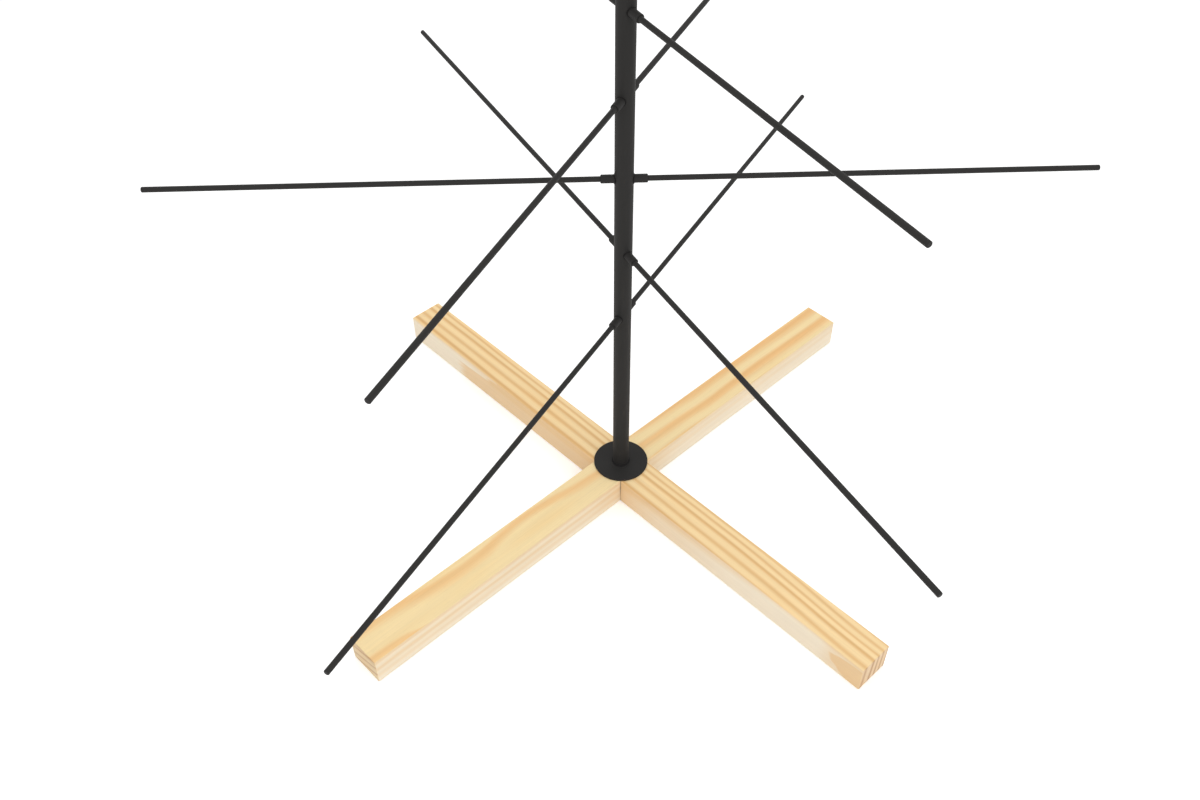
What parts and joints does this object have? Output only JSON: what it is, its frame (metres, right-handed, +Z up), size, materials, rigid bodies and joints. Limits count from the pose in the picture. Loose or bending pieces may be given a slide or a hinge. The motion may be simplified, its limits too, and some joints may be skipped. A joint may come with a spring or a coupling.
{
  "type": "rod display tree",
  "caption": "Free-standing tree of thin black rods on a round post, each tier turned from the one below, on a crossed pine foot.",
  "frame": {"origin": "on the floor, on the axis of the post", "axes": "+Z up the post, -Y towards the side that is seen in the picture, the two beams at 45 degrees to X and Y"},
  "size_m": [1.0724, 1.0281, 1.8],
  "materials": {
    "pine_lower": "planed, clear matt varnish, strong straight grain",
    "pine_upper": "planed, clear matt varnish, broad open grain",
    "black_steel": "matt black powder coat",
    "black_rod": "matt black powder coat on drawn rod",
    "zinc_steel": "bright zinc plate",
    "black_plastic": "moulded, matt"
  },
  "bodies": {
    "stand": {"lower_beam": "pine_lower", "upper_beam": "pine_upper", "clamp_bolt": "zinc_steel", "bolt_washer": "zinc_steel", "foot_disc": "black_steel", "foot_insert": "zinc_steel", "lower_post": "black_steel", "rod_sleeve_01": "black_steel", "rod_sleeve_02": "black_steel", "rod_sleeve_03": "black_steel", "rod_sleeve_04": "black_steel", "rod_sleeve_05": "black_steel", "rod_sleeve_06": "black_steel"},
    "joiner": {"post_joiner": "black_steel"},
    "upper_section": {"upper_post": "black_steel", "top_plug": "black_plastic", "rod_sleeve_07": "black_steel", "rod_sleeve_08": "black_steel", "rod_sleeve_09": "black_steel", "rod_sleeve_10": "black_steel", "rod_sleeve_11": "black_steel", "rod_sleeve_12": "black_steel", "rod_sleeve_13": "black_steel", "rod_sleeve_14": "black_steel"},
    "rod_01_a": {"rod_01_a": "black_rod"},
    "rod_01_b": {"rod_01_b": "black_rod"},
    "rod_02_a": {"rod_02_a": "black_rod"},
    "rod_02_b": {"rod_02_b": "black_rod"},
    "rod_03_a": {"rod_03_a": "black_rod"},
    "rod_03_b": {"rod_03_b": "black_rod"},
    "rod_04_a": {"rod_04_a": "black_rod"},
    "rod_04_b": {"rod_04_b": "black_rod"},
    "rod_05_a": {"rod_05_a": "black_rod"},
    "rod_05_b": {"rod_05_b": "black_rod"},
    "rod_06_a": {"rod_06_a": "black_rod"},
    "rod_06_b": {"rod_06_b": "black_rod"},
    "rod_07_a": {"rod_07_a": "black_rod"},
    "rod_07_b": {"rod_07_b": "black_rod"},
    "rod_08_a": {"rod_08_a": "black_rod"},
    "rod_08_b": {"rod_08_b": "black_rod"},
    "rod_09_a": {"rod_09_a": "black_rod"},
    "rod_09_b": {"rod_09_b": "black_rod"},
    "rod_10_a": {"rod_10_a": "black_rod"},
    "rod_10_b": {"rod_10_b": "black_rod"},
    "rod_11_a": {"rod_11_a": "black_rod"},
    "rod_11_b": {"rod_11_b": "black_rod"},
    "rod_12_a": {"rod_12_a": "black_rod"},
    "rod_12_b": {"rod_12_b": "black_rod"},
    "rod_13_a": {"rod_13_a": "black_rod"},
    "rod_13_b": {"rod_13_b": "black_rod"},
    "rod_14_a": {"rod_14_a": "black_rod"},
    "rod_14_b": {"rod_14_b": "black_rod"}
  },
  "joints": [
    {"name": "joiner_turn", "type": "hinge", "parent": "stand", "child": "joiner", "pos_m": [0, 0, 0.8755], "axis": [0, 0, 1], "continuous": true},
    {"name": "upper_lift", "type": "slide", "parent": "joiner", "child": "upper_section", "axis": [0, 0, 1], "range_m": [0, 0.036]},
    {"name": "rod_01_a_pull", "type": "slide", "parent": "stand", "child": "rod_01_a", "axis": [0.4726, 0.8813, 0], "range_m": [0, 0.031]},
    {"name": "rod_01_b_pull", "type": "slide", "parent": "stand", "child": "rod_01_b", "axis": [-0.4726, -0.8813, 0], "range_m": [0, 0.022]},
    {"name": "rod_02_a_pull", "type": "slide", "parent": "stand", "child": "rod_02_a", "axis": [-0.509, 0.8607, 0], "range_m": [0, 0.012]},
    {"name": "rod_02_b_pull", "type": "slide", "parent": "stand", "child": "rod_02_b", "axis": [0.509, -0.8607, 0], "range_m": [0, 0.042]},
    {"name": "rod_03_a_pull", "type": "slide", "parent": "stand", "child": "rod_03_a", "axis": [-0.9985, -0.055, 0], "range_m": [0, 0.027]},
    {"name": "rod_03_b_pull", "type": "slide", "parent": "stand", "child": "rod_03_b", "axis": [0.9985, 0.055, 0], "range_m": [0, 0.027]},
    {"name": "rod_04_a_pull", "type": "slide", "parent": "stand", "child": "rod_04_a", "axis": [-0.4067, -0.9135, 0], "range_m": [0, 0.025]},
    {"name": "rod_04_b_pull", "type": "slide", "parent": "stand", "child": "rod_04_b", "axis": [0.4067, 0.9135, 0], "range_m": [0, 0.028]},
    {"name": "rod_05_a_pull", "type": "slide", "parent": "stand", "child": "rod_05_a", "axis": [0.5358, -0.8443, 0], "range_m": [0, 0.036]},
    {"name": "rod_05_b_pull", "type": "slide", "parent": "stand", "child": "rod_05_b", "axis": [-0.5358, 0.8443, 0], "range_m": [0, 0.018]},
    {"name": "rod_06_a_pull", "type": "slide", "parent": "stand", "child": "rod_06_a", "axis": [0.9986, 0.0523, 0], "range_m": [0, 0.027]},
    {"name": "rod_06_b_pull", "type": "slide", "parent": "stand", "child": "rod_06_b", "axis": [-0.9986, -0.0523, 0], "range_m": [0, 0.027]},
    {"name": "rod_07_a_pull", "type": "slide", "parent": "upper_section", "child": "rod_07_a", "axis": [0.454, 0.891, 0], "range_m": [0, 0.027]},
    {"name": "rod_07_b_pull", "type": "slide", "parent": "upper_section", "child": "rod_07_b", "axis": [-0.454, -0.891, 0], "range_m": [0, 0.027]},
    {"name": "rod_08_a_pull", "type": "slide", "parent": "upper_section", "child": "rod_08_a", "axis": [-0.5446, 0.8387, 0], "range_m": [0, 0.027]},
    {"name": "rod_08_b_pull", "type": "slide", "parent": "upper_section", "child": "rod_08_b", "axis": [0.5446, -0.8387, 0], "range_m": [0, 0.027]},
    {"name": "rod_09_a_pull", "type": "slide", "parent": "upper_section", "child": "rod_09_a", "axis": [-0.9986, -0.0523, 0], "range_m": [0, 0.027]},
    {"name": "rod_09_b_pull", "type": "slide", "parent": "upper_section", "child": "rod_09_b", "axis": [0.9986, 0.0523, 0], "range_m": [0, 0.027]},
    {"name": "rod_10_a_pull", "type": "slide", "parent": "upper_section", "child": "rod_10_a", "axis": [-0.454, -0.891, 0], "range_m": [0, 0.027]},
    {"name": "rod_10_b_pull", "type": "slide", "parent": "upper_section", "child": "rod_10_b", "axis": [0.454, 0.891, 0], "range_m": [0, 0.027]},
    {"name": "rod_11_a_pull", "type": "slide", "parent": "upper_section", "child": "rod_11_a", "axis": [0.5446, -0.8387, 0], "range_m": [0, 0.027]},
    {"name": "rod_11_b_pull", "type": "slide", "parent": "upper_section", "child": "rod_11_b", "axis": [-0.5446, 0.8387, 0], "range_m": [0, 0.027]},
    {"name": "rod_12_a_pull", "type": "slide", "parent": "upper_section", "child": "rod_12_a", "axis": [0.9986, 0.0523, 0], "range_m": [0, 0.027]},
    {"name": "rod_12_b_pull", "type": "slide", "parent": "upper_section", "child": "rod_12_b", "axis": [-0.9986, -0.0523, 0], "range_m": [0, 0.027]},
    {"name": "rod_13_a_pull", "type": "slide", "parent": "upper_section", "child": "rod_13_a", "axis": [0.454, 0.891, 0], "range_m": [0, 0.027]},
    {"name": "rod_13_b_pull", "type": "slide", "parent": "upper_section", "child": "rod_13_b", "axis": [-0.454, -0.891, 0], "range_m": [0, 0.027]},
    {"name": "rod_14_a_pull", "type": "slide", "parent": "upper_section", "child": "rod_14_a", "axis": [-0.5446, 0.8387, 0], "range_m": [0, 0.027]},
    {"name": "rod_14_b_pull", "type": "slide", "parent": "upper_section", "child": "rod_14_b", "axis": [0.5446, -0.8387, 0], "range_m": [0, 0.027]}
  ]
}
